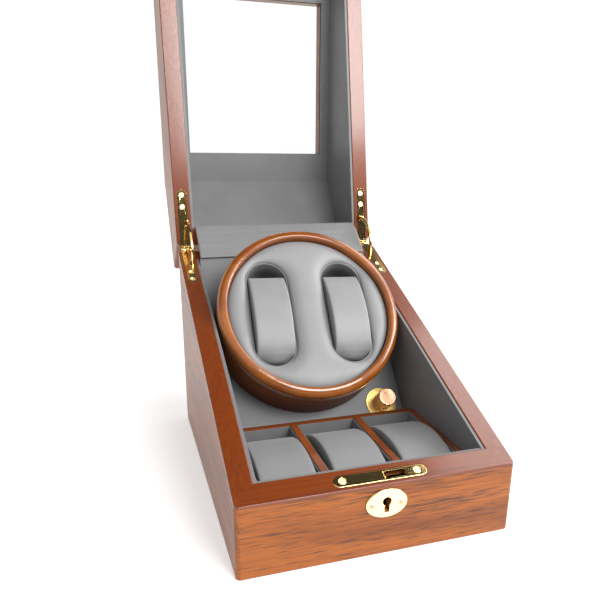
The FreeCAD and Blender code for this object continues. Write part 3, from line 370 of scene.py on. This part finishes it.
def make_leather(name, light, dark):
    """Grey coated leather with a fine pebble."""
    material, tree, shader, place = new_material(name)
    roughness = 0.42
    grain = tree.group(LEATHER, Place=place, Grain_Size=900.0)
    tree.feed(shader.inputs["Base Color"], tree.mix(tree.ramp(grain["Mottle"], 0.3, 0.7), dark, light))
    tree.feed(shader.inputs["Roughness"], tree.ramp(grain["Height"], 0.2, 0.8, roughness, roughness + 0.12))
    shader.inputs["Specular IOR Level"].default_value = 0.45
    shader.inputs["Sheen Weight"].default_value = 0.12
    bump = tree.node("ShaderNodeBump", {"Height": grain["Height"], "Strength": 0.12, "Distance": 0.05 * MM})
    tree.feed(shader.inputs["Normal"], bump.outputs[0])
    return material


def make_metal(name, tone, roughness, brushed=0.0):
    """Polished or spun plated metal with faint marks."""
    material, tree, shader, place = new_material(name)
    marks = tree.noise(place, 900.0, 3.0, 0.6)
    darker = tuple(0.8 * part for part in tone[:3]) + (1.0,)
    shade = tree.mix(tree.ramp(marks, 0.3, 0.8, 0.0, 0.25), tone, darker)
    tree.feed(shader.inputs["Base Color"], shade)
    shader.inputs["Metallic"].default_value = 1.0
    tree.feed(shader.inputs["Roughness"], tree.ramp(marks, 0.3, 0.8, roughness, roughness + 0.08))
    shader.inputs["Anisotropic"].default_value = brushed
    return material


def make_plain(name, tone, roughness, grain_size=400.0, depth=0.05):
    """Matt plastic, rubber, felt or board with a fine texture."""
    material, tree, shader, place = new_material(name)
    noise = tree.noise(place, grain_size, 3.0, 0.6)
    darker = tuple(0.7 * part for part in tone[:3]) + (1.0,)
    tree.feed(shader.inputs["Base Color"], tree.mix(tree.ramp(noise, 0.3, 0.7), darker, tone))
    tree.feed(shader.inputs["Roughness"], tree.ramp(noise, 0.3, 0.7, roughness, min(1.0, roughness + 0.1)))
    bump = tree.node("ShaderNodeBump", {"Height": noise, "Strength": 0.3, "Distance": depth * MM})
    tree.feed(shader.inputs["Normal"], bump.outputs[0])
    return material


def make_floor_material():
    """White paper, bright enough to hide its own horizon."""
    material, tree, shader, place = new_material("floor_paper")
    paper = tree.mix(tree.noise(place, 3.0, 2.0), colour(0.90, 0.90, 0.90), colour(0.93, 0.93, 0.93))
    tree.feed(shader.inputs["Base Color"], paper)
    shader.inputs["Roughness"].default_value = 0.6
    shader.inputs["Emission Color"].default_value = colour(1, 1, 1)
    shader.inputs["Emission Strength"].default_value = 0.35
    return material


def make_glass():
    """Clear pane with faint smudges in its polish."""
    material, tree, shader, place = new_material("clear_glass")
    shader.inputs["Base Color"].default_value = colour(0.98, 0.99, 0.99)
    shader.inputs["IOR"].default_value = 1.3
    shader.inputs["Transmission Weight"].default_value = 1.0
    smudge = tree.noise(place, 60.0, 2.0)
    tree.feed(shader.inputs["Roughness"], tree.ramp(smudge, 0.5, 0.9, 0.0, 0.02))
    return material


def dress(material, *nodes):
    """Give CAD nodes one finish."""
    for name in nodes:
        data = NODES[name].data
        data.materials.clear()
        data.materials.append(material)


# ---- padded leather -------------------------------------------------------------

def local_box(node, place):
    """Lowest and highest corner of a node in the axes of a turned frame."""
    back = place.inverted()
    points = [back @ vertex.co for vertex in NODES[node].data.vertices]
    return [Vector([pick(point[axis] for point in points) for axis in range(3)]) for pick in (min, max)]


def cut_in_strips(mesh, axis, low, high, step):
    """Cut a whole mesh across one axis at even steps."""
    count = max(2, round((high - low) / step))
    normal = Vector([1.0 if axis == index else 0.0 for index in range(3)])
    for index in range(1, count):
        where = normal * (low + (high - low) * index / count)
        geometry = mesh.verts[:] + mesh.edges[:] + mesh.faces[:]
        bmesh.ops.bisect_plane(mesh, geom=geometry, plane_co=where, plane_no=normal, dist=1e-6)


def inflate(piece, cap):
    """Puff a leather cover with the cloth solver. cap(point) limits each point's travel."""
    modifier = piece.modifiers.new("filling", "CLOTH")
    cloth = modifier.settings
    cloth.quality = 6
    cloth.mass = 0.2
    cloth.tension_stiffness = cloth.compression_stiffness = 20
    cloth.shear_stiffness = 8
    cloth.bending_stiffness = 2
    cloth.use_pressure = True
    cloth.uniform_pressure_force = PRESSURE
    cloth.effector_weights.gravity = 0
    modifier.collision_settings.use_self_collision = False
    scene = bpy.context.scene
    for number in range(1, CLOTH_FRAMES + 1):
        scene.frame_set(number)
    graph = bpy.context.evaluated_depsgraph_get()
    puffed = [vertex.co.copy() for vertex in piece.evaluated_get(graph).data.vertices]
    piece.modifiers.remove(modifier)
    scene.frame_set(1)
    for vertex, target in zip(piece.data.vertices, puffed):
        travel = target - vertex.co
        limit = cap(vertex.co)
        if travel.length > limit:
            travel *= limit / travel.length
        vertex.co += travel


def refine(piece):
    """Smooth a puffed cover with one subdivision."""
    piece.modifiers.new("refine", "SUBSURF").levels = 1
    piece.modifiers["refine"].render_levels = 1


def make_cushion(name, node, place, material, crown, round_end=0.0):
    """A watch pillow: arched top, flat foot, sewn edges; its cover swells a little."""
    low, high = local_box(node, place)
    skin = 0.4 * MM
    margin = 1.6 * MM
    low, high = low + Vector((skin, skin, 0)), high - Vector((skin, skin, skin))
    middle = (low + high) / 2
    half_length = (high.y - low.y) / 2
    radius = arch_radius(half_length, crown)
    mesh = bmesh.new()
    outline = [(low.y, low.z), (low.y, high.z - crown)]
    reach = math.asin(half_length / radius)
    steps = 24
    for index in range(1, steps):
        angle = -reach + 2 * reach * index / steps
        outline.append((middle.y + radius * math.sin(angle), high.z - radius * (1 - math.cos(angle))))
    outline += [(high.y, high.z - crown), (high.y, low.z)]
    side = mesh.faces.new([mesh.verts.new((low.x, y, z)) for y, z in outline])
    grown = bmesh.ops.extrude_face_region(mesh, geom=[side], use_keep_orig=True)
    moved = [part for part in grown["geom"] if isinstance(part, bmesh.types.BMVert)]
    bmesh.ops.translate(mesh, vec=(high.x - low.x, 0, 0), verts=moved)
    bmesh.ops.recalc_face_normals(mesh, faces=mesh.faces[:])
    if round_end:
        corners = [edge for edge in mesh.edges
                   if all(vert.co.y < low.y + 1e-6 for vert in edge.verts)
                   and abs(edge.verts[0].co.x - edge.verts[1].co.x) < 1e-6]
        bmesh.ops.bevel(mesh, geom=corners, offset=round_end, segments=8, profile=0.5, affect="EDGES",
                        material=-1)
    seams = [edge for edge in mesh.edges if edge.is_manifold and edge.calc_face_angle() > math.radians(40)]
    bmesh.ops.bevel(mesh, geom=seams, offset=SEAM, segments=3, profile=0.5, affect="EDGES", material=-1)
    for axis in range(3):
        cut_in_strips(mesh, axis, low[axis] + margin, high[axis] - margin, COVER_STEP)
    bmesh.ops.remove_doubles(mesh, verts=mesh.verts[:], dist=0.02 * MM)
    bmesh.ops.recalc_face_normals(mesh, faces=mesh.faces[:])
    if round_end:
        roll_low_end(mesh, low, high, crown)
    piece = add_piece(name, mesh, [material])

    edge_fade, foot_fade = 9 * MM, 8 * MM

    def cap(point):
        from_side = min(point.x - low.x, high.x - point.x)
        from_foot = point.z - low.z
        return PUFF * min(1.0, from_side / edge_fade) * min(1.0, from_foot / foot_fade)

    inflate(piece, cap)
    piece.data.transform(place)
    refine(piece)
    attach(piece, node)
    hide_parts(node)


def arch_radius(half_length, crown):
    """Radius of an arch that rises by its crown over its half length."""
    return (half_length ** 2 + crown ** 2) / (2 * crown)


def roll_low_end(mesh, low, high, crown):
    """Lower the round end of a drum pillow, so that the leather rolls over into its pocket."""
    middle = (low + high) / 2
    half_width = (high.x - low.x) / 2
    half_length = (high.y - low.y) / 2
    radius = arch_radius(half_length, crown)
    for vert in mesh.verts:
        from_middle = vert.co.y - middle.y
        top = high.z - radius + math.sqrt(radius ** 2 - from_middle ** 2) - low.z
        past_centre = max(0.0, low.y + half_width - vert.co.y)
        aside = (vert.co.x - middle.x) * min(1.0, past_centre / half_width)
        reach = half_width - math.hypot(past_centre, aside)
        drop = rolled(max(0.0, reach), *END_ROLL)
        vert.co.z = low.z + (vert.co.z - low.z) * (1 - drop / top)


def rolled(distance, width, drop):
    """How far padded leather has dropped at a distance from its edge, on a quarter ellipse."""
    share = max(0.0, 1 - distance / width)
    return drop * (1 - math.sqrt(1 - share * share))


def pocket_distance(point):
    """Distance in the drum's face from the nearer pocket's centre line."""
    across = abs(abs(point.x) - POCKET_OFFSET)
    along = max(0.0, abs(point.y) - POCKET_HALF)
    return math.hypot(across, along)


def pocket_outline(mesh, centre, height):
    """A closed loop of edges round a pocket's lip."""
    segments = 24
    points = []
    for end, start in ((1, 0), (-1, math.pi)):
        for index in range(segments + 1):
            angle = math.pi * index / segments + start
            across = centre + LIP_RADIUS * math.cos(angle)
            along = end * POCKET_HALF + LIP_RADIUS * math.sin(angle)
            points.append((across, along, height))
    return loop_of(mesh, points)


def loop_of(mesh, points):
    """Edges that join the points in a closed loop."""
    verts = [mesh.verts.new(point) for point in points]
    return [mesh.edges.new((a, b)) for a, b in zip(verts, verts[1:] + verts[:1])]


def make_drum_face(material):
    """The padded face: one leather disc that rolls down into both pockets and the ring."""
    low, high = local_box("drum_face", TURNED_DRUM)
    radius = high.x - 0.1 * MM
    segments = 120
    step = 2.6 * MM
    mesh = bmesh.new()
    angles = [math.tau * index / segments for index in range(segments)]
    circle = [(radius * math.cos(angle), radius * math.sin(angle), low.z) for angle in angles]
    edges = loop_of(mesh, circle)
    for sign in (-1, 1):
        edges += pocket_outline(mesh, sign * POCKET_OFFSET, low.z)
    bmesh.ops.triangle_fill(mesh, use_beauty=True, use_dissolve=False, edges=edges, normal=(0, 0, 1))
    inner = mesh.faces[:]
    for width in (0.35, 0.6, 0.9):
        bmesh.ops.inset_region(mesh, faces=inner, thickness=width * MM, use_boundary=True,
                               use_even_offset=True)
    for axis in (0, 1):
        cut_in_strips(mesh, axis, -radius, radius, step)
    grown = bmesh.ops.extrude_face_region(mesh, geom=mesh.faces[:], use_keep_orig=True)
    top = [part for part in grown["geom"] if isinstance(part, bmesh.types.BMVert)]
    for vert in top:
        to_lip = max(0.0, pocket_distance(vert.co) - LIP_RADIUS)
        to_ring = max(0.0, radius - math.hypot(vert.co.x, vert.co.y))
        vert.co.z = high.z - rolled(to_lip, *LIP_ROLL) - rolled(to_ring, *RING_ROLL)
    bmesh.ops.recalc_face_normals(mesh, faces=mesh.faces[:])
    piece = add_piece("drum_face_leather", mesh, [material])
    piece.data.transform(TURNED_DRUM)
    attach(piece, "drum")
    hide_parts("drum_face")


def make_hinge_strip(material):
    """The leather that hides the hinge gap, laid from the deck to the lid's back wall."""
    node = NODES["hinge_cover"]
    low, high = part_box("hinge_cover")
    start = min((vertex.co for vertex in node.data.vertices), key=lambda point: point.y)
    stop = max((vertex.co for vertex in node.data.vertices), key=lambda point: point.y)
    start, stop = Vector((0, start.y, start.z)), Vector((0, stop.y, stop.z))
    along = stop - start
    up = Vector((0, -along.z, along.y)).normalized()
    bow, clearance, ripple_height = 1.4 * MM, 0.3 * MM, 0.28 * MM
    mesh = bmesh.new()
    bmesh.ops.create_grid(mesh, x_segments=90, y_segments=24, size=0.5)
    for vert in mesh.verts:
        across, share = vert.co.x, vert.co.y + 0.5
        place = start + along * share + up * (bow * 4 * share * (1 - share) + clearance)
        broad = math.sin(across * 9 + share * 7) * math.sin(share * 17 + across * 3)
        ripple = broad + 0.6 * math.sin(share * 31 - across * 5)
        place += up * ripple_height * ripple * min(1.0, 6 * share * (1 - share))
        vert.co = Vector((across * (high.x - low.x), place.y, place.z))
    bmesh.ops.recalc_face_normals(mesh, faces=mesh.faces[:])
    piece = add_piece("hinge_leather", mesh, [material])
    wall = piece.modifiers.new("thickness", "SOLIDIFY")
    wall.thickness = 0.9 * MM
    wall.offset = 0
    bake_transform(piece)
    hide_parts("hinge_cover")


def make_dial_marks(material):
    """Fine printed marks round three quarters of the dial, one in four of them long."""
    low, high = local_box("dial_plate", DRUM_FRAME)
    centre, radius = (low + high) / 2, (high.x - low.x) / 2 - 0.9 * MM
    width, thickness = 0.32 * MM, 0.12 * MM
    steps = 32
    mesh = bmesh.new()
    for index in range(steps + 1):
        length = (2.6 if index % 4 == 0 else 1.5) * MM
        angle = math.radians(-45 + 270 * index / steps)
        turned = Matrix.Translation((centre.x, centre.y, high.z)) @ Matrix.Rotation(angle, 4, "Z")
        outwards = Matrix.Translation((radius - length / 2, 0, 0))
        bar = Matrix.Diagonal((length, width, thickness, 1))
        bmesh.ops.create_cube(mesh, size=1, matrix=turned @ outwards @ bar)
    piece = add_piece("dial_marks", mesh, [material], smooth=False)
    piece.data.transform(DRUM_FRAME)
    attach(piece, "case")


def ease_edges(width, *nodes):
    """A small bevel on the edges of thin metal parts, so that they catch the light."""
    for name in nodes:
        node = NODES[name]
        weld = node.modifiers.new("weld", "WELD")
        weld.merge_threshold = 0.002 * MM
        bevel = node.modifiers.new("edges", "BEVEL")
        bevel.width = width
        bevel.segments = 2
        bevel.limit_method = "ANGLE"
        bevel.angle_limit = math.radians(35)
        bevel.harden_normals = True


# ---- the box --------------------------------------------------------------------

make_camera()
make_stage()

case_face = make_walnut("walnut_case_front")
case_side = make_walnut("walnut_case_side", "Y")
lid_face = make_walnut("walnut_lid_face", "X", True)
lid_side = make_walnut("walnut_lid_side", "Y", True)
dress(case_face, "case_front", "case_back", "case_bottom")
dress(case_side, "case_left", "case_right")
dress(lid_face, "lid_front", "lid_back", "lid_top", "lid_window_frame")
dress(lid_side, "lid_left", "lid_right")

ring_wood = make_turned_wood("ring_lacquer", colour(0.17, 0.042, 0.003), colour(0.27, 0.078, 0.007),
                             gloss=0.2, coat=1.0)
shell_wood = make_turned_wood("drum_lacquer", colour(0.14, 0.030, 0.003), colour(0.24, 0.058, 0.006),
                              gloss=0.40, coat=0.0, sheen=0.3)
tray_wood = make_turned_wood("tray_lacquer", colour(0.14, 0.034, 0.007), colour(0.22, 0.058, 0.013),
                             gloss=0.3)
dress(ring_wood, "drum_ring")
dress(shell_wood, "drum_shell")
dress(tray_wood, "tray_frame")
dress(make_plain("bare_wood", colour(0.55, 0.40, 0.26), 0.7), "bay_wall")

# The linings use the same grey leather as the pads, made darker as painted shade for the inside of the case
# and the lid.
lining = make_leather("lining_leather_shade_darkened", colour(0.136, 0.135, 0.138), colour(0.124, 0.123, 0.126))
pad_leather = make_leather("pad_leather", colour(0.196, 0.196, 0.199), colour(0.182, 0.182, 0.185))
tray_leather = make_leather("tray_leather", colour(0.176, 0.176, 0.178), colour(0.162, 0.162, 0.164))
flap_leather = make_leather("flap_leather", colour(0.160, 0.160, 0.162), colour(0.148, 0.148, 0.150))
dress(lining, "case_lining_sides", "case_lining_front", "deck_panel", "tray_pocket_linings", "drum_pockets",
      "lid_lining_sides", "lid_lining_front", "lid_lining_back", "lid_lining_top", "lid_lining_window",
      "hinge_cover")
make_drum_face(pad_leather)
make_hinge_strip(flap_leather)
for side in ("left", "right"):
    make_cushion("drum_pillow_" + side, "drum_cushion_" + side, TURNED_DRUM, pad_leather,
                 DRUM_CROWN, ROUND_END)
for side in ("left", "centre", "right"):
    make_cushion("tray_pillow_" + side, "tray_cushion_" + side, Matrix.Identity(4), tray_leather,
                 TRAY_CROWN)

brass = make_metal("gold_plate", colour(0.90, 0.66, 0.27), 0.06)
pale_brass = make_metal("pale_gold_plate", colour(0.86, 0.69, 0.40), 0.14)
pin_copper = make_metal("pin_copper", colour(0.78, 0.46, 0.27), 0.30)
screw_brass = make_metal("screw_brass", colour(0.95, 0.80, 0.55), 0.42)
dial_brass = make_metal("spun_dial_brass", colour(0.62, 0.43, 0.14), 0.32, 0.4)
dress(brass, "lock_plate", "lock_case", "lock_bolt", "hinge_lower_leaves",
      "hinge_upper_leaves", "quadrant_arm_left", "quadrant_arm_right", "strike_plate", "spindle_bush")
dress(pale_brass, "escutcheon")
dress(screw_brass, "brass_screws_case", "brass_screws_lid")
dress(pin_copper, "escutcheon_pins")
dress(dial_brass, "dial_plate")
make_dial_marks(make_plain("mark_enamel", colour(0.05, 0.03, 0.02), 0.5))
ease_edges(0.22 * MM, "lock_plate", "escutcheon", "hinge_lower_leaves", "hinge_upper_leaves", "dial_plate")
ease_edges(0.15 * MM, "quadrant_arm_left", "quadrant_arm_right", "lock_bolt", "control_knob")
dress(make_metal("rose_gold_plate", colour(0.72, 0.40, 0.25), 0.24, 0.7), "control_knob")
dress(make_metal("machined_steel", colour(0.55, 0.56, 0.58), 0.3, 0.3), "gearbox", "motor", "gearbox_screws",
      "switch_nut", "drum_shaft")
dress(make_plain("black_plastic", colour(0.03, 0.03, 0.03), 0.45), "rotary_switch", "dc_jack", "drum_hub")
dress(make_plain("board_green", colour(0.03, 0.15, 0.07), 0.4), "control_board")
dress(make_plain("lead_rubber", colour(0.02, 0.02, 0.02), 0.5), "motor_lead", "jack_lead")
dress(make_plain("base_felt", colour(0.05, 0.05, 0.055), 0.95, 2500.0, 0.3), "base_felt")
dress(make_glass(), "window_glass")
